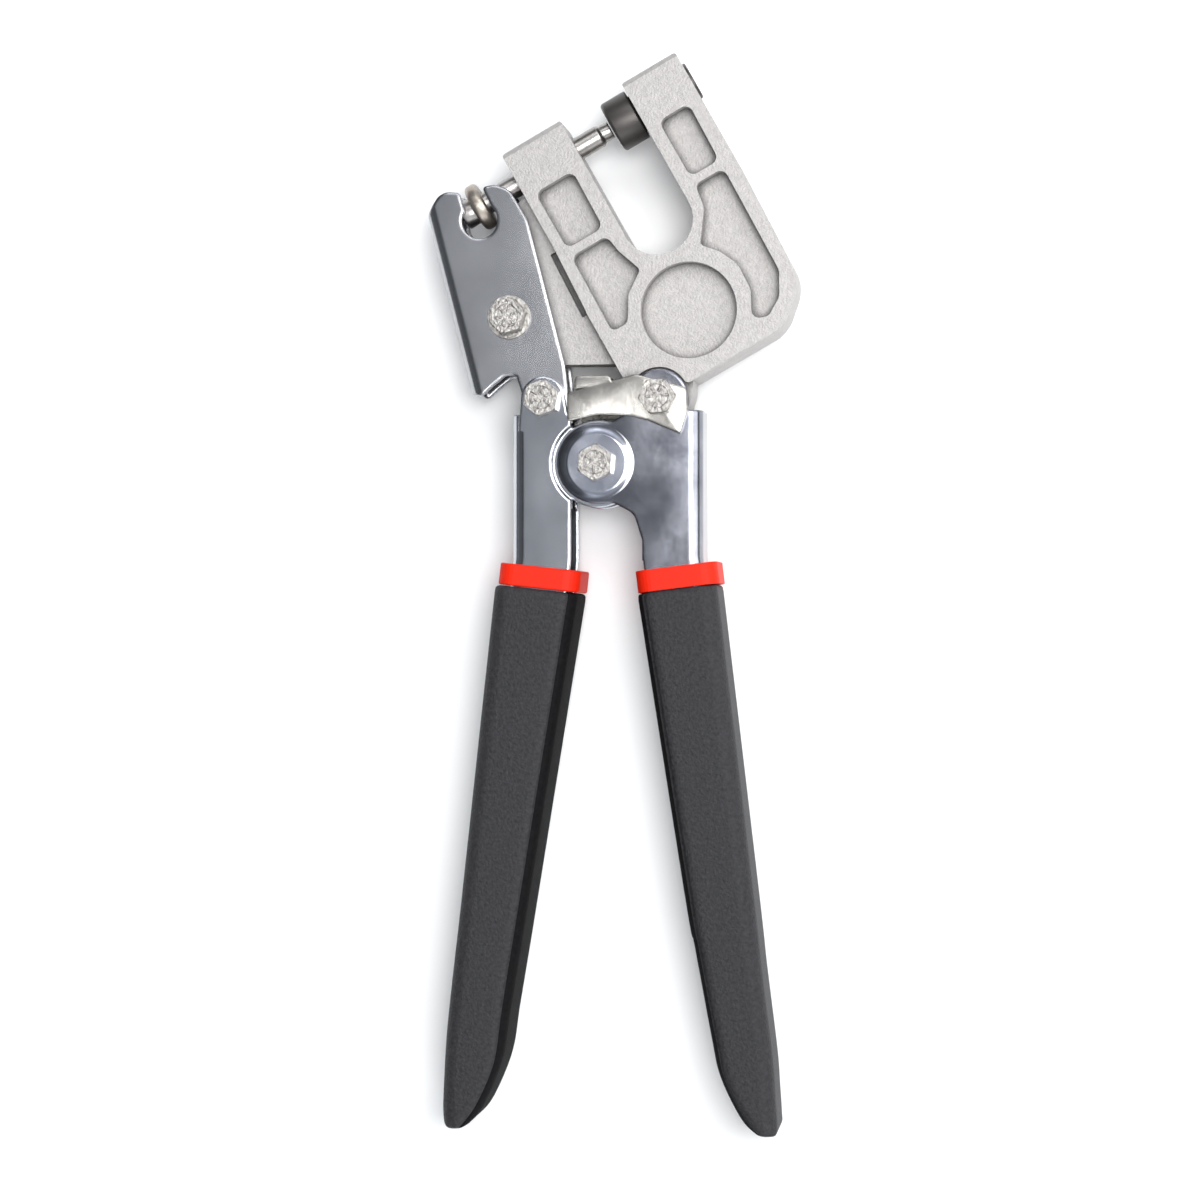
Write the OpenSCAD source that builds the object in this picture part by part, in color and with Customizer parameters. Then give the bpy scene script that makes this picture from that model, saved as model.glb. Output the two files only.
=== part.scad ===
// Single-hand stud crimper lying flat: X to the right, Y towards the head, Z up, mm.
// The origin is on the main pivot axis, on the rest face of the main pivot nut.

/* [Frame] */
// angle of the punch axis above the X axis
head_angle = 29.5; // [24:0.5:34]
// full thickness of the cast legs
leg_thick = 15.2; // [14:0.2:15.4]
// depth of the lightening pockets on each face
pocket_deep = 3.6; // [1:0.2:3.9]
// distance between the two legs
throat_w = 17.5; // [14:0.5:18]

/* [Punch and die] */
// diameter of the punch shaft
punch_d = 5.6; // [4.4:0.1:6.4]
// diameter of the drive collar on the punch
collar_d = 12; // [11:0.5:13]
// outer diameter of the die
die_d = 13; // [11:0.5:14]

/* [Handles] */
// thickness of the pressed handle sheet
sheet = 1.8; // [1.4:0.1:1.8]
// full thickness of the grips
grip_thick = 21.6; // [19:0.2:23]
// diameter of the stamped boss at the main pivot
boss_d = 19.6; // [17:0.2:20]

/* [Fasteners] */
// thread diameter of all pivot bolts
bolt_d = 5; // [4:0.1:5.2]
// width across the flats of the bolt heads
head_af = 8; // [7:0.1:8.4]

/* [Output] */
// which sub-part to draw

/* [Hidden] */
$fn = 48;

// pivot places, with the main pivot at the origin
link_a = [-13.3, 15.9];
link_b = [15.4, 15.9];
lever_c = [-22.0, 36.2];
die_face = [3.3, 83.4];
lever_angle = 14.5;

// layers, as distances from the middle plane
mid = 12;
leg_h = leg_thick / 2;
web_h = 3.6;
tongue_h = 5.7;
lever_in = 3.9;
lever_out = lever_in + 1.8;
flange_in = 6.0;
flange_out = flange_in + sheet;
saddle_out = 9.2;
grip_h = grip_thick / 2;
rest_h = mid;
bolt_r = bolt_d / 2;
bore_r = bolt_r + 0.05;
open_r = bolt_r + 0.3;
head_h = 3.5;
skin = 0.01;

// ---- helpers
function unit(v) = v / norm(v);
function arc_corner(a, b, c, r, n) =
    let (u = unit(a - b), w = unit(c - b), half = acos(max(-1, min(1, u * w))) / 2)
    let (cen = b + unit(u + w) * r / sin(half), s = b + u * r / tan(half),
        e = b + w * r / tan(half))
    let (a0 = atan2(s.y - cen.y, s.x - cen.x), a1 = atan2(e.y - cen.y, e.x - cen.x))
    let (turn = (a1 - a0 + 900) % 360 - 180)
    [for (i = [0:n]) cen + r * [cos(a0 + turn * i / n), sin(a0 + turn * i / n)]];
function flat(p) = [p.x, p.y];
// outline from corner points [x, y, corner radius]
function soft(p, n = 7) =
    let (m = len(p))
    [for (i = [0:m - 1]) each (p[i][2] <= 0 ? [flat(p[i])]
        : arc_corner(flat(p[(i + m - 1) % m]), flat(p[i]), flat(p[(i + 1) % m]), p[i][2], n))];

module slab(p, z0, z1, n = 7) {
    translate([0, 0, z0]) linear_extrude(z1 - z0) polygon(soft(p, n));
}
module both_sides() {
    children();
    mirror([0, 0, 1]) children();
}
module at_mid() {
    translate([0, 0, mid]) children();
}
module in_head() {
    translate([die_face.x, die_face.y, 0]) rotate([0, 0, head_angle]) children();
}
module in_lever() {
    translate([lever_c.x, lever_c.y, 0]) rotate([0, 0, lever_angle]) children();
}
module along_punch(u) {
    in_head() translate([u, 0, 0]) rotate([0, 90, 0]) children();
}
module disc(c, r, z0, z1) {
    translate([c.x, c.y, z0]) cylinder(r = r, h = z1 - z0);
}
// U channel: spine at x = 0, open towards +x, running along +y
module channel(run, deep, h, t, r) {
    rotate([90, 0, 0]) mirror([0, 0, 1]) linear_extrude(run) polygon(soft([
        [0, -h, r], [0, h, r], [deep, h, 0], [deep, h - t, 0],
        [t, h - t, r - t], [t, -(h - t), r - t], [deep, -(h - t), 0], [deep, -h, 0]]));
}
module hex_prism(af, h) {
    linear_extrude(h) polygon([for (i = [0:5]) af / sqrt(3) * [cos(i * 60), sin(i * 60)]]);
}
module hex_bolt(c, seat, tip, turn = 0) {
    translate([c.x, c.y, 0]) rotate([0, 0, turn]) {
        difference() {
            translate([0, 0, seat]) intersection() {
                hex_prism(head_af, head_h);
                cylinder(r1 = head_af * 0.9, r2 = head_af * 0.53, h = head_h);
            }
            translate([0, 0, seat + head_h - 0.25]) cylinder(r = head_af * 0.36, h = 1);
        }
        translate([0, 0, tip]) cylinder(r = bolt_r, h = seat - tip + skin);
        for (i = [0:5])
            rotate([0, 0, i * 60]) translate([1.1, -0.2, seat + head_h - 0.3])
                cube([1.5, 0.4, 0.3]);
    }
}
module hex_nut(c, top, h, turn = 0) {
    translate([c.x, c.y, top - h]) rotate([0, 0, turn]) difference() {
        intersection() {
            hex_prism(head_af, h);
            cylinder(r1 = head_af * 0.52, r2 = head_af * 0.62, h = h);
        }
        translate([0, 0, -1]) cylinder(r = bore_r, h = h + 2);
    }
}

// ---- cast frame
leg_l = -27.1;
throat_r = 7.1;
throat_l = throat_r - throat_w;
leg_r = 22.2;
leg_top = 7.0;
heel = -65.2;
thick_outline = [[leg_l, leg_top, 0.8], [leg_l, -19, 0], [leg_l - 0.9, -38, 0],
    [leg_l - 0.9, -56.6, 0.5], [-22, -58.5, 0], [-14.6, heel, 0.3], [12, heel, 10],
    [21.2, heel + 8, 10], [21.4, -47, 3], [leg_r, -26, 0], [leg_r, leg_top, 0.8],
    [throat_r, leg_top, 0.5], [throat_r, -35.3, throat_w * 0.49],
    [throat_l, -35.3, throat_w * 0.49], [throat_l, leg_top, 0.5]];
pocket_1 = [[-24.5, -5.6, 2], [-13.8, -5.6, 2], [-14.1, -21.6, 2], [-24.4, -21.6, 2]];
pocket_2 = [[-24.5, -23.8, 2], [-14.4, -23.8, 2], [-13.7, -28.5, 2], [-11.3, -35.2, 1.2],
    [-16.8, -39.0, 3], [-20.4, -45, 2], [-24.8, -45, 1.6]];
pocket_4 = [[10.4, -5.9, 2], [18.9, -5.9, 2], [18.5, -21.8, 2], [10.4, -21.8, 2]];
pocket_5 = [[10.5, -24, 1.6], [18.5, -24, 2], [17.9, -52.5, 4], [14.8, -58.2, 4],
    [10.2, -61, 2], [6.2, -59.6, 2], [9.6, -53.0, 3], [9.9, -46, 6], [7.6, -41.2, 4],
    [4.3, -37.4, 1.2], [9.6, -30, 4]];
bay = [-5.9, -49.8];
bay_r = 11.8;
web_outline = [[-19.6, 66.2, 2], [-24, 52, 6], [-31.2, 41, 7], [-29, 27.5, 6],
    [-19, 24.5, 4], [6, 24.5, 0], [6, 44, 0], [-6, 62, 0]];
tongue_outline = [[8.2, 13.5, 4], [13, 8.2, 5], [21, 9.5, 5], [23.4, 16.5, 4], [24, 26, 0],
    [6.5, 26, 0], [7.8, 20.3, 0]];

module pockets(floor_z) {
    slab(pocket_1, floor_z, leg_h + 1);
    slab(pocket_2, floor_z, leg_h + 1);
    slab(pocket_4, floor_z, leg_h + 1);
    slab(pocket_5, floor_z, leg_h + 1);
    disc(bay, bay_r, floor_z, leg_h + 1);
}
module frame() {
    at_mid() color([0.80, 0.79, 0.77]) difference() {
        union() {
            difference() {
                in_head() slab(thick_outline, -leg_h, leg_h);
                both_sides() disc(link_b, ear_r + 0.45, tongue_h, leg_h + 1);
                both_sides() slab([[8.4, 3, 0], [30, 3, 0], [30, 12, 0], [22, 17, 0],
                    [8.4, 17, 0]], tongue_h, leg_h + 1);
            }
            slab(web_outline, -web_h, web_h);
            slab(tongue_outline, -tongue_h, tongue_h);
        }
        both_sides() in_head() pockets(leg_h - pocket_deep);
        // narrow recess beside the thick part, and the chamfer on top of the legs
        both_sides() in_head() slab([[leg_l - 1.9, -20, 0.3], [leg_l - 0.1, -20, 0.3],
            [leg_l - 0.8, -37.6, 0.3], [leg_l - 2.6, -37.6, 0.3]], web_h - 2.2, leg_h + 1);
        both_sides() in_head() translate([0, leg_top, leg_h]) rotate([45, 0, 0])
            cube([90, 1.9, 1.9], center = true);
        // grooves that the lever's lobes swing into
        both_sides() in_head() translate([leg_l - 3, -37, web_h + skin])
            cube([4.9, 38, lever_out + 0.3 - web_h]);
        disc(lever_c, bore_r, -leg_h - 1, leg_h + 1);
        disc(link_b, bore_r, -leg_h - 1, leg_h + 1);
        along_punch(leg_l - 1) cylinder(r = punch_d / 2 + 0.05, h = throat_l - leg_l + 2);
        along_punch(throat_r - 1) cylinder(r = 4.85, h = leg_r - throat_r + 2);
    }
}

// ---- punch and die
module die() {
    at_mid() color([0.16, 0.15, 0.15]) along_punch(-0.4) difference() {
        union() {
            cylinder(r1 = die_d / 2 - 0.5, r2 = die_d / 2, h = 0.5);
            translate([0, 0, 0.5]) cylinder(r = die_d / 2, h = 6.5);
            translate([0, 0, 7]) cylinder(r = 4.8, h = 0.5 + leg_r - throat_r + 0.7);
        }
        translate([0, 0, -1]) cylinder(r = punch_d / 2 + 0.35, h = 30);
    }
}
nose_u = -0.9;
nose_r = 2.2;
shaft_u = -3.3;
collar_u = -40.1;
collar_w = 3.4;
module punch() {
    at_mid() color([0.72, 0.72, 0.74]) {
        along_punch(collar_u - 3.2) cylinder(r = 3.5, h = 3.2);
        along_punch(collar_u) cylinder(r = punch_d / 2, h = shaft_u - 0.8 - collar_u);
        along_punch(shaft_u - 0.8) cylinder(r1 = punch_d / 2, r2 = nose_r, h = 0.8);
        along_punch(shaft_u) cylinder(r = nose_r, h = nose_u - shaft_u);
    }
}
module punch_collar() {
    at_mid() color([0.42, 0.36, 0.30]) along_punch(collar_u) difference() {
        union() {
            cylinder(r1 = collar_d / 2 - 0.7, r2 = collar_d / 2, h = 0.7);
            translate([0, 0, 0.7]) cylinder(r = collar_d / 2, h = collar_w - 1.4);
            translate([0, 0, collar_w - 0.7])
                cylinder(r1 = collar_d / 2, r2 = collar_d / 2 - 0.7, h = 0.7);
        }
        translate([0, 0, -1]) cylinder(r = punch_d / 2 + 0.02, h = collar_w + 2);
    }
}

// ---- lever, in its own frame with the pivot at the origin
spine_x = -13.8;
foot = [link_a.x - lever_c.x, link_a.y - lever_c.y];
foot_local = [foot.x * cos(lever_angle) + foot.y * sin(lever_angle),
    -foot.x * sin(lever_angle) + foot.y * cos(lever_angle)];
lever_outline = [[spine_x, -15.9, 0], [-11.4, -16.9, 0.6], [-8.4, -15.3, 2],
    [-4.6, -13.6, 2], [-1.9, -14.2, 1.2], [-1.6, -21, 0], [0.2, -28.2, 4],
    [8.2, -28.2, 4], [9.6, -21, 0], [10.4, -15, 0], [10.4, 22, 9], [7.9, 30.6, 4.5],
    [4.6, 32.8, 3], [1.4, 33.0, 0.8], [2.6, 27.5, 0], [-4.3, 27, 0], [-4.5, 33.2, 0.8],
    [-8.8, 34.8, 4], [spine_x, 29.8, 2.5]];
keyhole = [-1.2, 25.2];
module lever() {
    at_mid() color([0.62, 0.63, 0.66]) in_lever() difference() {
        intersection() {
            translate([spine_x, -32, 0]) channel(70, 26, lever_out, lever_out - lever_in, 2.6);
            slab(lever_outline, -lever_out - 1, lever_out + 1);
        }
        disc(keyhole, 4.5, -lever_out - 1, lever_out + 1);
        disc([0, 0], bore_r, -lever_out - 1, lever_out + 1);
        disc(foot_local, open_r, -lever_out - 1, lever_out + 1);
    }
}
washer_t = 0.8;
module lever_pivot_bolt() {
    at_mid() color([0.74, 0.72, 0.68])
        hex_bolt(lever_c, lever_out + washer_t, -lever_out - washer_t - 4.4, 14);
}
module lever_pivot_washer() {
    at_mid() color([0.70, 0.70, 0.71]) both_sides() difference() {
        disc(lever_c, 5.4, lever_out, lever_out + washer_t);
        disc(lever_c, bore_r, lever_out - 1, lever_out + washer_t + 1);
    }
}
module lever_pivot_nut() {
    at_mid() color([0.70, 0.69, 0.66]) hex_nut(lever_c, -lever_out - washer_t, 4.2, 14);
}

// ---- lever link pivot, on the left handle
module lever_link_bolt() {
    at_mid() color([0.74, 0.72, 0.68]) hex_bolt(link_a, flange_out, -rest_h, 20);
}
module lever_link_spacer() {
    at_mid() color([0.60, 0.60, 0.62]) difference() {
        disc(link_a, 4, -lever_in + 0.3, lever_in - 0.3);
        disc(link_a, bore_r, -lever_in - 1, lever_in + 1);
    }
}
module lever_link_nut() {
    at_mid() color([0.70, 0.69, 0.66])
        hex_nut(link_a, -flange_out, rest_h - flange_out, 20);
}

// ---- frame link pivot and main pivot, on the right handle
module frame_link_bolt() {
    at_mid() color([0.74, 0.72, 0.68]) hex_bolt(link_b, saddle_out, -rest_h, 5);
}
module frame_link_nut() {
    at_mid() color([0.70, 0.69, 0.66])
        hex_nut(link_b, -saddle_out, rest_h - saddle_out, 5);
}
module main_pivot_bolt() {
    at_mid() color([0.74, 0.72, 0.68]) hex_bolt([0, 0], flange_out, -rest_h, 25);
}
module main_pivot_spacer() {
    at_mid() color([0.60, 0.60, 0.62]) difference() {
        disc([0, 0], 4.5, -lever_in, lever_in);
        disc([0, 0], bore_r, -lever_in - 1, lever_in + 1);
    }
}
module main_pivot_nut() {
    at_mid() color([0.70, 0.69, 0.66]) hex_nut([0, 0], -flange_out, rest_h - flange_out, 25);
}

// ---- handles: pressed channels with a bend where the grips begin
left_x = -21;
right_x = 26;
reach = 14.5;
bend_y = -23;
lap = 4;
left_lean = 6.3;
right_lean = 7;
tang = 100;
recess_r = 11.2;
ear_r = 7;
left_ear_r = 5.4;
tang_outline = [[-1, -lap, 0], [reach, -lap, 0], [reach, 1.2, 0], [reach - 3.2, tang, 0],
    [-1, tang, 0]];
// half space above or below the mitre line where a handle bends
module mitre(lean, above) {
    rotate([0, 0, -lean / 2]) translate([-100, above ? 0 : -200, -50]) cube([200, 200, 100]);
}
// channel above the bend, and the leaning tang below it; the spine's bend is at the origin
module upper_channel(top, deep, lean) {
    intersection() {
        translate([0, -lap, 0]) channel(top + lap, deep, flange_out, sheet, 3);
        mitre(lean, true);
    }
}
module tang_channel(lean) {
    intersection() {
        rotate([0, 0, 180 - lean]) mirror([1, 0, 0]) intersection() {
            translate([0, -lap, 0]) channel(tang + lap, reach, flange_out, sheet, 3);
            slab(tang_outline, -mid, mid);
        }
        mitre(lean, false);
    }
}
module left_body() {
    translate([left_x, bend_y, 0]) upper_channel(12 - bend_y, reach, left_lean);
    translate([left_x, bend_y, 0]) tang_channel(left_lean);
    both_sides() {
        disc(link_a, left_ear_r, flange_in, flange_out);
        slab([[link_a.x - left_ear_r, link_a.y, 0], [-19.2, 8, 0], [left_x + reach, 8, 0],
            [link_a.x + left_ear_r, link_a.y, 0]],
            flange_in, flange_out);
    }
}
module left_handle() {
    at_mid() color([0.70, 0.71, 0.74]) difference() {
        union() {
            difference() {
                left_body();
                both_sides() disc([0, 0], recess_r, 0, flange_out + 1);
            }
            both_sides() {
                intersection() {
                    difference() {
                        disc([0, 0], recess_r + 1.6, lever_in, flange_out);
                        disc([0, 0], recess_r, 0, flange_out + 1);
                    }
                    slab([[left_x + 3, 14, 0], [left_x + 3, bend_y, 0],
                        [left_x + reach, bend_y, 0], [left_x + reach, 14, 0]],
                        0, flange_out + 1);
                }
                disc([0, 0], recess_r - 0.4, lever_in, lever_out);
                intersection() {
                    disc([0, 0], recess_r + 0.2, lever_in, lever_out);
                    slab([[left_x + 3, 14, 0], [left_x + 3, bend_y, 0],
                        [left_x + reach, bend_y, 0], [left_x + reach, 14, 0]],
                        0, flange_out + 1);
                }
            }
        }
        disc([0, 0], bore_r, -mid, mid);
        disc(link_a, bore_r, -mid, mid);
    }
}
right_edge = right_x - reach - 0.2;
right_outline = [[right_x + 1, 12.7, 0], [22.4, 12.7, 0.6], [22.4, 22.9, ear_r],
    [8.4, 22.9, ear_r], [8.4, 12.8, 2], [3.4, boss_d / 2, 3],
    [-boss_d / 2, boss_d / 2, boss_d / 2], [-boss_d / 2, -boss_d / 2, boss_d / 2],
    [4.2, -boss_d / 2, 3], [9.2, -12.4, 4], [right_edge, -19, 3],
    [right_edge, bend_y - 6, 0], [right_x + 1, bend_y - 6, 0]];
module right_handle() {
    at_mid() color([0.70, 0.71, 0.74]) difference() {
        union() {
            intersection() {
                translate([right_x, bend_y, 0]) mirror([1, 0, 0])
                    upper_channel(24 - bend_y, 38, right_lean);
                slab(right_outline, -mid, mid, 16);
            }
            translate([right_x, bend_y, 0]) mirror([1, 0, 0]) tang_channel(right_lean);
        }
        disc([0, 0], bore_r, -mid, mid);
        disc(link_b, bore_r, -mid, mid);
    }
}

// ---- saddle bracket on the right handle, whose left end stops the handles opening
saddle_outline = [[-7.0, 17.2, 0.6], [9.8, 21.4, 0.8], [11, 21.2, 1], [22.2, 18.2, 1.2],
    [22.4, 12, 0], [20.8, 6.9, 0.5], [12.7, 10.3, 6], [8.3, 11.5, 6], [0.5, 11.8, 8],
    [-7.0, 10.2, 0.6]];
module stop_bracket() {
    at_mid() color([0.76, 0.72, 0.66]) both_sides() difference() {
        union() {
            slab(saddle_outline, flange_out, saddle_out);
            slab([[-5.2, 18.1, 0], [3.8, 19.2, 0], [3.8, 21.2, 1], [-5.2, 21.2, 1]],
                lever_in, saddle_out);
        }
        // step that lets the left handle's ear pass underneath
        slab([[-9, 8, 0], [-1.5, 8, 0], [-1.5, 17.6, 0], [-9, 17.6, 0]],
            flange_out - 1, flange_out + 0.25);
        slab([[-9, 17, 0], [-5.3, 17, 0], [-5.3, 22, 0], [-9, 22, 0]],
            flange_out - 1, flange_out + 0.25);
        disc(link_b, bore_r, flange_in, saddle_out + 1);
    }
}

// ---- grips: stations of centre, half width, half thickness and edge radius
left_stations = [[-14.5, -31.0, 10.7, 1.0, 4.4], [-24.5, -106.6, 9.2, 1.0, 4.4],
    [-26.8, -122.0, 8.9, 1.0, 4.4], [-29.0, -136.8, 8.5, 1.0, 4.4],
    [-30.3, -148.2, 7.9, 0.97, 4.4], [-33.4, -157.6, 4.9, 0.90, 4.0],
    [-35.2, -163.0, 2.2, 0.72, 2.1]];
right_stations = [[20.2, -31.0, 10.7, 1.0, 4.4], [30.9, -106.6, 9.2, 1.0, 4.4],
    [33.2, -123.0, 8.9, 1.0, 4.4], [35.3, -137.2, 8.5, 1.0, 4.4],
    [37.4, -148.0, 7.8, 0.97, 4.4], [40.2, -157.8, 5.0, 0.90, 4.0],
    [42.3, -163.2, 2.2, 0.72, 2.1]];
module station(s, lean) {
    h = grip_h * s[3] - s[4];
    w = s[2] - s[4];
    translate([s[0], s[1], 0]) rotate([0, 0, lean])
        for (x = [-w, w])
            for (z = [-h, h])
                translate([x, 0, z]) rotate([90, 0, 0])
                    cylinder(r = s[4], h = 0.6, center = true, $fn = 28);
}
module grip(stations, lean) {
    difference() {
        for (i = [0:len(stations) - 2])
            hull() {
                station(stations[i], lean);
                station(stations[i + 1], lean);
            }
        children();
    }
}
module tang_space(x, lean, side) {
    translate([x, bend_y, 0]) rotate([0, 0, 180 - side * lean]) mirror([side > 0 ? 1 : 0, 0, 0])
        slab([[0, -lap, 0], [reach, -lap, 0], [reach, 1.2, 0], [reach - 3.2, tang, 0], [0, tang, 0]],
            -flange_out, flange_out);
}
module left_grip() {
    at_mid() color([0.26, 0.26, 0.27]) grip(left_stations, -left_lean)
        tang_space(left_x, left_lean, 1);
}
module right_grip() {
    at_mid() color([0.26, 0.26, 0.27]) grip(right_stations, right_lean)
        tang_space(right_x, right_lean, -1);
}
band_h = grip_h - 0.6;
module band(s, lean) {
    w = s[2] - 0.6;
    r = 3.9;
    translate([s[0], s[1], 0]) rotate([0, 0, lean]) rotate([-90, 0, 0]) translate([0, 0, 0.3])
        linear_extrude(5.4) polygon(soft([[-w, -band_h, r], [w, -band_h, r], [w, band_h, r],
            [-w, band_h, r]]));
}
module left_grip_band() {
    at_mid() color([0.95, 0.26, 0.12]) difference() {
        band(left_stations[0], -left_lean);
        tang_space(left_x, left_lean, 1);
    }
}
module right_grip_band() {
    at_mid() color([0.95, 0.26, 0.12]) difference() {
        band(right_stations[0], right_lean);
        tang_space(right_x, right_lean, -1);
    }
}

frame();
die();
punch();
punch_collar();
lever();
lever_pivot_bolt();
lever_pivot_washer();
lever_pivot_nut();
lever_link_bolt();
lever_link_spacer();
lever_link_nut();
frame_link_bolt();
frame_link_nut();
main_pivot_bolt();
main_pivot_spacer();
main_pivot_nut();
left_handle();
right_handle();
stop_bracket();
left_grip();
right_grip();
left_grip_band();
right_grip_band();
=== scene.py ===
import math
import bpy
from mathutils import Matrix, Vector


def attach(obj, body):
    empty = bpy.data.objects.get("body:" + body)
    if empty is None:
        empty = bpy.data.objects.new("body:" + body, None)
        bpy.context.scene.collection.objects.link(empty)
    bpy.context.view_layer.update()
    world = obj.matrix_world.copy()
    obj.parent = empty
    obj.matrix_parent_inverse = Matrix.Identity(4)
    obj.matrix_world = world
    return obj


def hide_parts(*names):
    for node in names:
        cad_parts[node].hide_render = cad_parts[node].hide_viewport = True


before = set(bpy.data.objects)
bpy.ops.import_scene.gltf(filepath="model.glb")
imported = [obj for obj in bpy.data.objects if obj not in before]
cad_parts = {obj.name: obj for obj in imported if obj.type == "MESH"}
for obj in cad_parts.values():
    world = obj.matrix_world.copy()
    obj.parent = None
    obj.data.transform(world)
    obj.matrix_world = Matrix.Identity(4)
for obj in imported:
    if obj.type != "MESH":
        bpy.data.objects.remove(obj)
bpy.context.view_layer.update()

MM = 0.001
MID = 12.0             # height of the tool's middle plane above the floor, mm
UP = Vector((0, 1, 0))


# ---------------------------------------------------------------- shader helpers
def node_of(tree, kind, **settings):
    """A new node; a setting goes to the socket of that name, or else to the node itself."""
    made = tree.nodes.new(kind)
    for key, value in settings.items():
        if key in made.inputs:
            made.inputs[key].default_value = value
        else:
            setattr(made, key, value)
    return made


def remap(tree, value, low=(0.0, 1.0), high=(0.0, 1.0), **settings):
    """The value, mapped from the range low to the range high."""
    made = node_of(tree, "ShaderNodeMapRange", **settings)
    made.inputs["From Min"].default_value, made.inputs["From Max"].default_value = low
    made.inputs["To Min"].default_value, made.inputs["To Max"].default_value = high
    tree.links.new(value, made.inputs["Value"])
    return made.outputs["Result"]


def times(tree, a, b):
    """Two colours, or a colour and a grey value, multiplied."""
    made = node_of(tree, "ShaderNodeVectorMath", operation="MULTIPLY")
    tree.links.new(a, made.inputs[0])
    tree.links.new(b, made.inputs[1])
    return made.outputs["Vector"]


def bump(tree, height, strength, distance):
    made = node_of(tree, "ShaderNodeBump", Strength=strength, Distance=distance)
    tree.links.new(height, made.inputs["Height"])
    return made


def shader_of(mat):
    return mat.node_tree.nodes["Principled BSDF"]


def place_of(mat):
    """The material's object coordinates."""
    return next(n for n in mat.node_tree.nodes if n.type == "TEX_COORD").outputs["Object"]


def lowest_relief(mat):
    """The normal input at the bottom of the material's stack of reliefs."""
    return next(n for n in mat.node_tree.nodes
                if n.type == "BUMP" and not n.inputs["Normal"].links).inputs["Normal"]


def tint(mat, factor):
    """Multiplies the base colour by a socket's value."""
    base = shader_of(mat).inputs["Base Color"]
    tree = mat.node_tree
    tree.links.new(times(tree, base.links[0].from_socket, factor), base)


# ---------------------------------------------------------------- materials
GRAIN_DEPTH = 0.0003   # metres
PATCH_EDGES = (0.32, 0.68)


def surface(name, light, dark, metallic, rough, grain, relief, patch=40.0, rough_span=0.08):
    """Colour and gloss drift between two tones in soft patches, over a fine grain."""
    mat = bpy.data.materials.new(name)
    mat.use_nodes = True
    tree = mat.node_tree
    bsdf = shader_of(mat)
    bsdf.inputs["Metallic"].default_value = metallic
    where = tree.nodes.new("ShaderNodeTexCoord").outputs["Object"]
    soft = node_of(tree, "ShaderNodeTexNoise", Scale=patch, Detail=5.0, Roughness=0.6)
    tree.links.new(where, soft.inputs["Vector"])
    ramp = tree.nodes.new("ShaderNodeValToRGB")
    for stop, edge, tone in zip(ramp.color_ramp.elements, PATCH_EDGES, (dark, light)):
        stop.position = edge
        stop.color = (*tone, 1)
    tree.links.new(soft.outputs["Fac"], ramp.inputs["Fac"])
    tree.links.new(ramp.outputs["Color"], bsdf.inputs["Base Color"])
    gloss = remap(tree, soft.outputs["Fac"], high=(rough - rough_span, rough + rough_span))
    tree.links.new(gloss, bsdf.inputs["Roughness"])
    fine = node_of(tree, "ShaderNodeTexNoise", Scale=grain, Detail=3.0, Roughness=0.55)
    tree.links.new(where, fine.inputs["Vector"])
    skin = bump(tree, fine.outputs["Fac"], relief, GRAIN_DEPTH)
    tree.links.new(skin.outputs["Normal"], bsdf.inputs["Normal"])
    return mat


def painted_occlusion_shade(mat, reach, darkest_shade):
    """Painted shade: an ambient occlusion node darkens the base colour in corners and along recess
    walls, where shade falls.
    """
    tree = mat.node_tree
    occlusion = node_of(tree, "ShaderNodeAmbientOcclusion", samples=12, Distance=reach * MM)
    tint(mat, remap(tree, occlusion.outputs["AO"], low=(0.45, 0.92), high=(darkest_shade, 1.0)))
    return mat


def wavy(mat, scale, height):
    """Sheet metal is never quite flat: long, shallow waves under the fine grain."""
    tree = mat.node_tree
    wave = node_of(tree, "ShaderNodeTexNoise", Scale=scale, Detail=1.0, Roughness=0.4)
    tree.links.new(place_of(mat), wave.inputs["Vector"])
    above = lowest_relief(mat)
    tree.links.new(bump(tree, wave.outputs["Fac"], 1.0, height * MM).outputs["Normal"], above)
    return mat


def domed(mat, inner, outer, height, painted_highlight):
    """A shallow pressed disc around the main pivot, which stands at the origin: a real dome in the
    bump, and a painted highlight that lightens the colour over the disc.
    """
    tree = mat.node_tree
    flat = node_of(tree, "ShaderNodeVectorMath", operation="MULTIPLY")
    flat.inputs[1].default_value = (1, 1, 0)
    tree.links.new(place_of(mat), flat.inputs[0])
    away = node_of(tree, "ShaderNodeVectorMath", operation="LENGTH")
    tree.links.new(flat.outputs["Vector"], away.inputs[0])
    disc = remap(tree, away.outputs["Value"], low=(inner * MM, outer * MM), high=(1.0, 0.0),
                 interpolation_type="SMOOTHSTEP")
    above = lowest_relief(mat)
    tree.links.new(bump(tree, disc, 1.0, height * MM).outputs["Normal"], above)
    # Painted highlight: the base colour is lightened over the disc.
    tint(mat, remap(tree, disc, high=(1.0, painted_highlight)))
    return mat


def eased(mat, radius):
    """Sheared sheet edges are rolled over, so they catch the light."""
    tree = mat.node_tree
    rim = node_of(tree, "ShaderNodeBevel", samples=8, Radius=radius * MM)
    tree.links.new(rim.outputs["Normal"], lowest_relief(mat))
    return mat


def muted(mat, level):
    """Rubbery surfaces shine less than bare plastic."""
    shader_of(mat).inputs["Specular IOR Level"].default_value = level
    return mat


def cast_aluminium():
    mat = surface("cast_aluminium", (0.455, 0.435, 0.425), (0.365, 0.35, 0.34),
                  0.30, 0.48, 1900, 0.55, patch=700)
    # Painted shade darkens the frame's corners and pocket walls.
    return painted_occlusion_shade(mat, 2.4, 0.30)


def blackened_steel():
    return surface("blackened_steel", (0.085, 0.078, 0.074), (0.055, 0.050, 0.047),
                   0.6, 0.40, 900, 0.10)


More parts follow.
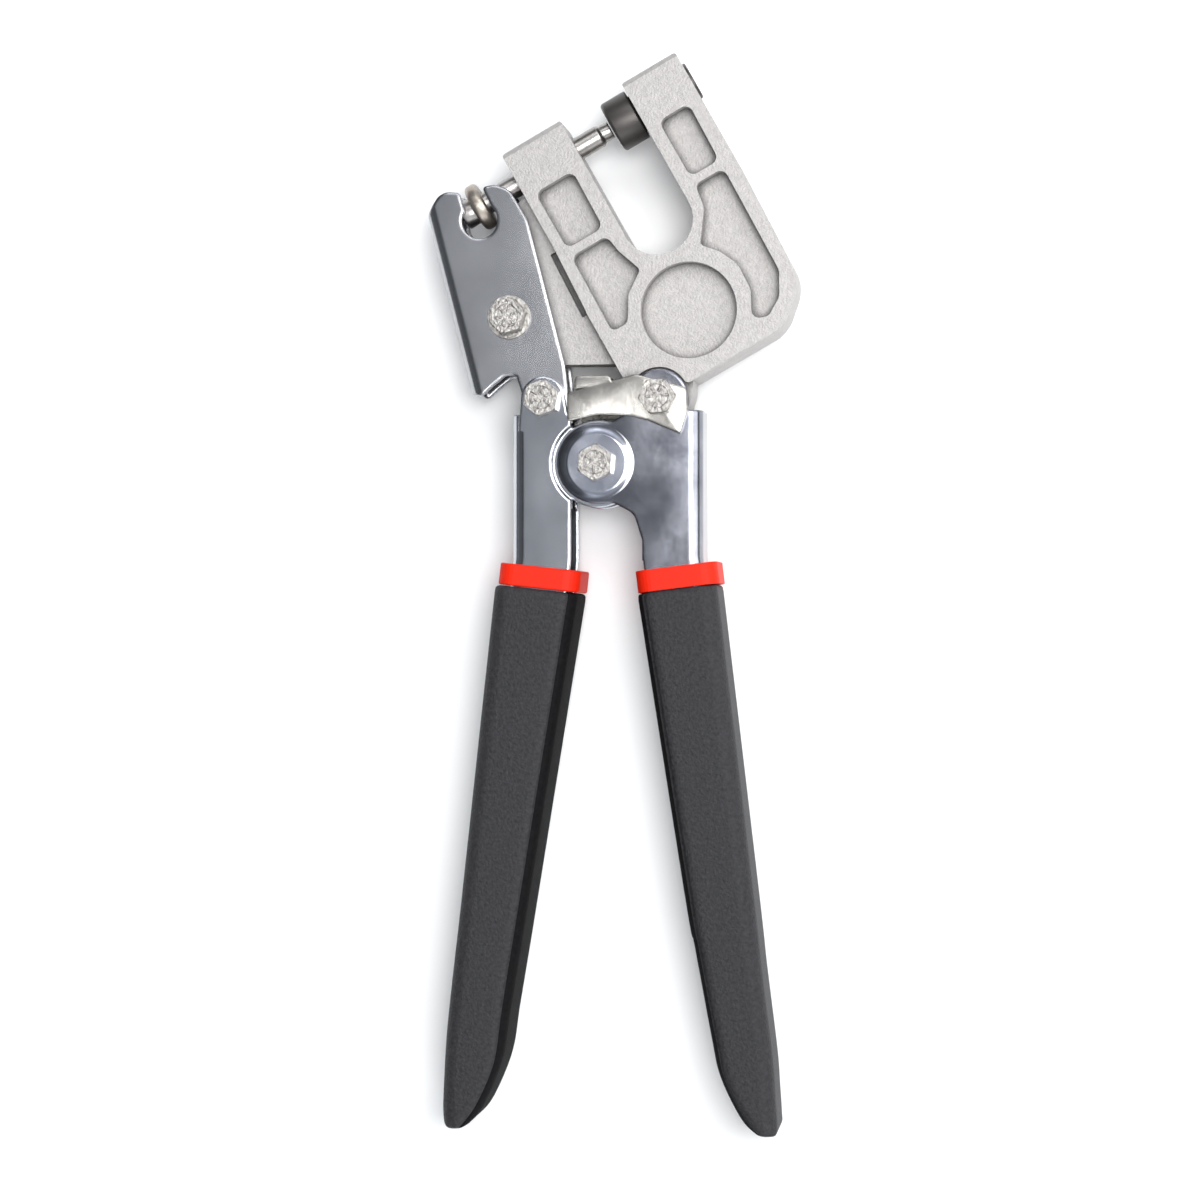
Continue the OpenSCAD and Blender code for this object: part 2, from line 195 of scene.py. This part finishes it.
def punch_steel():
    return surface("punch_steel", (0.40, 0.38, 0.365), (0.30, 0.285, 0.27), 1.0, 0.32, 900, 0.08)


def collar_steel():
    return surface("collar_steel", (0.46, 0.41, 0.36), (0.28, 0.24, 0.20), 0.9, 0.36, 700, 0.10)


def lever_chrome():
    mat = surface("lever_chrome", (0.47, 0.47, 0.49), (0.38, 0.38, 0.40),
                  1.0, 0.20, 500, 0.04, patch=25, rough_span=0.05)
    return eased(wavy(mat, 45, 0.25), 1.1)


def handle_chrome():
    mat = surface("handle_chrome", (0.60, 0.61, 0.65), (0.48, 0.49, 0.53),
                  1.0, 0.15, 400, 0.03, patch=25, rough_span=0.05)
    return eased(wavy(mat, 55, 0.35), 0.8)


def yoke_chrome_painted_shade():
    # Painted shade: a darker copy of the handle chrome, standing in for the darker reflections on the
    # right handle; domed adds a painted highlight over the pivot disc.
    mat = surface("yoke_chrome_painted_shade", (0.31, 0.315, 0.345), (0.17, 0.175, 0.205),
                  1.0, 0.15, 400, 0.03, patch=70, rough_span=0.05)
    return eased(domed(wavy(mat, 50, 0.5), 7.0, 9.4, 0.45, 2.9), 0.9)


def zinc_steel():
    mat = surface("zinc_steel", (0.50, 0.48, 0.455), (0.20, 0.19, 0.18),
                  0.8, 0.36, 1500, 0.8, patch=900)
    # Painted shade darkens the corners around the bolt heads and nuts.
    return painted_occlusion_shade(mat, 0.8, 0.45)


def nickel_sheet():
    mat = surface("nickel_sheet", (0.53, 0.51, 0.48), (0.36, 0.345, 0.32),
                  0.9, 0.26, 600, 0.08, patch=90)
    return eased(wavy(mat, 60, 0.6), 0.8)


def grip_vinyl():
    mat = surface("grip_vinyl", (0.034, 0.033, 0.037), (0.015, 0.0148, 0.0165),
                  0.0, 0.60, 1700, 1.0, patch=1100)
    return muted(mat, 0.3)


def grip_side_painted_shade():
    # Painted shade: a darker, duller copy of the grip vinyl, used on the sleeve's inner side strip.
    mat = surface("grip_side_painted_shade", (0.010, 0.0097, 0.0105), (0.006, 0.0058, 0.0064),
                  0.0, 0.75, 1700, 0.6, patch=900)
    return muted(mat, 0.05)


def band_orange():
    mat = surface("band_orange", (0.78, 0.018, 0.002), (0.68, 0.014, 0.002),
                  0.0, 0.55, 800, 0.15, patch=60)
    return muted(mat, 0.2)


def floor_paper():
    tone = 0.95
    return surface("floor_paper", (tone,) * 3, (tone * 0.985,) * 3, 0.0, 0.80, 60, 0.0, patch=3)


# ---------------------------------------------------------------- CAD nodes
def dress(name, mat, bevel=0.0, segments=3):
    """The CAD node keeps its mesh; modifiers join its flat faces and round its edges, in mm."""
    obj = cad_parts[name]
    obj.data.materials.clear()
    obj.data.materials.append(mat)
    if bevel:
        weld = obj.modifiers.new("weld", "WELD")
        weld.merge_threshold = 1e-6
        flat = obj.modifiers.new("flat", "DECIMATE")
        flat.decimate_type = "DISSOLVE"
        flat.angle_limit = math.radians(0.6)
        edge = obj.modifiers.new("bevel", "BEVEL")
        edge.width = bevel * MM
        edge.segments = segments
        edge.limit_method = "ANGLE"
        edge.angle_limit = math.radians(32)
        edge.use_clamp_overlap = True
        edge.miter_outer = "MITER_ARC"
        edge.harden_normals = True


ZINC = zinc_steel()
ORANGE = band_orange()
dress("frame", cast_aluminium(), 0.8, 4)
dress("die", blackened_steel(), 0.35)
dress("punch", punch_steel(), 0.2)
dress("punch_collar", collar_steel(), 0.5)
dress("lever", lever_chrome(), 0.85, 4)
dress("left_handle", handle_chrome(), 0.7, 4)
dress("right_handle", yoke_chrome_painted_shade(), 0.8, 4)
dress("stop_bracket", nickel_sheet(), 0.7, 4)
for pivot in ("lever_pivot", "lever_link", "frame_link", "main_pivot"):
    dress(pivot + "_bolt", ZINC, 0.2, 2)
    dress(pivot + "_nut", ZINC, 0.2, 2)
dress("lever_pivot_washer", ZINC, 0.15, 2)
for pivot in ("lever_link", "main_pivot"):
    dress(pivot + "_spacer", ZINC)
for hand in ("left", "right"):
    dress(hand + "_grip_band", ORANGE, 0.5)


# ---------------------------------------------------------------- grips
VINYL = grip_vinyl()
SHADED_SIDE = grip_side_painted_shade()
GRIP_HALF = 10.8                 # half thickness, mm
GRIP_CORNER = 4.2                # radius of the long edges, mm
GRIP_STEPS = 72
TIP_SHARE = 0.16                 # the last part of the length, where the sleeve thins
TIP_LOSS = 0.58
LIP_PLACES = [0.0, 0.0008, 0.0025, 0.006]
LIPS = (0.9, 0.35, 0.08, 0.0)    # inset of the top edge at those places, mm
RING = 64                        # points around a section, a quarter to each corner
CREASE = 9                       # points from the inner side's middle to its groove
GROOVE = 0.45                    # mm


def along(points, t):
    """A smooth curve through the points; t counts them."""
    k = min(int(t), len(points) - 2)
    u = t - k
    a, b, c, d = (Vector(points[max(0, min(len(points) - 1, k + o))]) for o in (-1, 0, 1, 2))
    return 0.5 * (2 * b + (c - a) * u + (2 * a - 5 * b + 4 * c - d) * u * u
                  + (3 * b - a - 3 * c + d) * u ** 3)


def side_distance(k, inner):
    """Points from ring point k to the middle of the sleeve's inner side."""
    middle = -0.5 if inner > 0 else RING / 2 - 0.5
    return min(abs(k - middle), abs(k - middle - RING))


def section(wide, thick, inner):
    """Points (across, up) of a rounded rectangle, with a groove on each side of its inner side."""
    r = min(GRIP_CORNER, wide * 0.96, thick * 0.96)
    quarter = RING // 4
    points = []
    for k in range(RING):
        q = k // quarter
        spin = math.pi / 2 * (q + (k - q * quarter) / (quarter - 1))
        grooved = side_distance(k, inner) == CREASE + 0.5
        reach = r - GROOVE if grooved else r
        points.append(((1, -1, -1, 1)[q] * (wide - r) + reach * math.cos(spin),
                       (1, 1, -1, -1)[q] * (thick - r) + reach * math.sin(spin)))
    return points


def grip(name, node, body, inner, edge_a, edge_b):
    """A moulded sleeve lofted between its two side edges; its inner side is a smooth strip in a
    darker copy of the vinyl, painted shade.
    """
    span = len(edge_a) - 1
    places = LIP_PLACES + [i / GRIP_STEPS for i in range(1, GRIP_STEPS + 1)]
    verts, faces = [], []
    for i, place in enumerate(places):
        a, b = along(edge_a, place * span), along(edge_b, place * span)
        tip = max(0.0, (place - (1 - TIP_SHARE)) / TIP_SHARE)
        lip = LIPS[i] if i < len(LIPS) else 0.0
        thick = GRIP_HALF * (1 - TIP_LOSS * tip ** 3) - lip
        mid, half = (a + b) / 2, (b - a) / 2
        axis = half.normalized()
        for x, z in section(half.length - lip, thick, inner):
            verts.append(((mid.x + axis.x * x) * MM, (mid.y + axis.y * x) * MM, (MID + z) * MM))
    for base in range(0, (len(places) - 1) * RING, RING):
        for k in range(RING):
            m = (k + 1) % RING
            faces.append((base + k, base + m, base + RING + m, base + RING + k))
    faces.append(tuple(reversed(range(RING))))
    faces.append(tuple(range((len(places) - 1) * RING, len(places) * RING)))
    mesh = bpy.data.meshes.new(name)
    mesh.from_pydata(verts, [], faces)
    mesh.materials.append(VINYL)
    mesh.materials.append(SHADED_SIDE)
    strip = range(-CREASE - 1, CREASE) if inner > 0 else range(RING // 2 - CREASE, RING // 2 + CREASE)
    for poly in mesh.polygons:
        poly.use_smooth = len(poly.vertices) == 4
        k = poly.index % RING
        # Painted shade: faces of the inner side strip take the darker vinyl copy.
        on_shaded_side = k in strip or k - RING in strip
        poly.material_index = int(poly.use_smooth and on_shaded_side)
    obj = bpy.data.objects.new(name, mesh)
    bpy.context.collection.objects.link(obj)
    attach(obj, body)
    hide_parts(node)


# side edges from the band to the tip, in mm
grip("left_sleeve", "left_grip", "left_handle", 1,
     [(-25.2, -29.7), (-33.6, -106.6), (-35.3, -121.3), (-37.2, -138.9),
      (-38.0, -152.0), (-38.2, -159.0), (-37.7, -161.9), (-36.2, -163.7)],
     [(-4.6, -32.0), (-16.7, -106.6), (-19.2, -121.8), (-21.4, -134.8),
      (-23.3, -146.3), (-27.7, -157.0), (-31.2, -161.6), (-34.7, -163.7)])
grip("right_sleeve", "right_grip", "right_handle", -1,
     [(10.0, -32.1), (21.8, -106.6), (24.0, -117.6), (28.2, -139.9),
      (30.3, -149.2), (35.0, -158.8), (38.6, -162.4), (41.4, -163.6)],
     [(29.6, -29.6), (38.7, -106.6), (40.5, -123.0), (43.1, -144.1),
      (43.8, -153.4), (44.2, -159.5), (44.2, -162.3), (43.2, -163.6)])


# ---------------------------------------------------------------- floor and lights
bpy.ops.mesh.primitive_plane_add(size=6, location=(0, 0, -0.0002))
floor = bpy.context.object
floor.name = "floor"
floor.data.materials.append(floor_paper())


def soft_box(name, place, aim_y, size, power):
    """A rectangular lamp that looks at the floor's centre line; metres and watts."""
    data = bpy.data.lights.new(name, "AREA")
    data.shape = "RECTANGLE"
    data.size, data.size_y = size
    data.energy = power
    lamp = bpy.data.objects.new(name, data)
    bpy.context.collection.objects.link(lamp)
    lamp.location = place
    lamp.rotation_euler = (Vector((0, aim_y, 0)) - Vector(place)).to_track_quat("-Z", "Y").to_euler()


soft_box("front", (0.27, 0.03, 1.20), -0.04, (0.60, 0.60), 10.5)
soft_box("key", (0.85, 0.35, 0.80), -0.02, (0.9, 0.9), 8)
soft_box("top", (0.10, 0.75, 0.85), 0, (1.1, 0.3), 3)
soft_box("low", (0.25, -0.95, 0.60), 0, (1.0, 0.5), 3)


def studio_sky(strength):
    """Grey overhead, a bright ring around it, a dim left wall and a soft right one."""
    world = bpy.data.worlds.new("studio")
    bpy.context.scene.world = world
    world.use_nodes = True
    tree = world.node_tree
    back = tree.nodes["Background"]
    where = tree.nodes.new("ShaderNodeTexCoord").outputs["Generated"]
    axes = tree.nodes.new("ShaderNodeSeparateXYZ")
    tree.links.new(where, axes.inputs["Vector"])
    cloud = node_of(tree, "ShaderNodeTexNoise", Scale=6.0, Detail=1.5, Roughness=0.5)
    tree.links.new(where, cloud.inputs["Vector"])

    def tones(source, stops):
        """Cool greys along the source's value, as (place, tone)."""
        made = tree.nodes.new("ShaderNodeValToRGB")
        ramp = made.color_ramp
        ramp.interpolation = "EASE"
        while len(ramp.elements) < len(stops):
            ramp.elements.new(0.5)
        for element, (place, tone) in zip(ramp.elements, stops):
            element.position = place
            element.color = (tone * 0.96, tone * 0.98, tone, 1)
        tree.links.new(source, made.inputs["Fac"])
        return made.outputs["Color"]

    rise = tones(axes.outputs["Z"],
                 [(0.0, 0.55), (0.55, 0.65), (0.84, 1.0), (0.93, 0.42), (1.0, 0.36)])
    across = tones(remap(tree, axes.outputs["X"], low=(-1.0, 1.0)),
                   [(0.0, 0.30), (0.2, 0.12), (0.33, 0.14), (0.39, 0.95), (0.60, 0.90), (0.75, 0.40)])
    drift = tones(cloud.outputs["Fac"], [(0.36, 0.62), (0.62, 1.0)])
    tree.links.new(times(tree, times(tree, across, rise), drift), back.inputs["Color"])
    back.inputs["Strength"].default_value = strength


studio_sky(1.35)


# ---------------------------------------------------------------- camera
SENSOR = 36                      # mm
VIEW_WIDTH = 0.2945              # metres across the picture at the aim
aim = Vector((0.0005, -0.0335, 0.017))
cam_data = bpy.data.cameras.new("camera")
cam = bpy.data.objects.new("camera", cam_data)
bpy.context.collection.objects.link(cam)
cam.location = Vector((0.098, -0.040, 0.700))
look = (aim - cam.location).normalized()
side = look.cross(UP).normalized()
cam.rotation_euler = Matrix((side, side.cross(look), -look)).transposed().to_euler()
cam_data.sensor_width = SENSOR
cam_data.lens = SENSOR * (aim - cam.location).length / VIEW_WIDTH
bpy.context.scene.camera = cam
bpy.context.scene.view_settings.view_transform = "Standard"
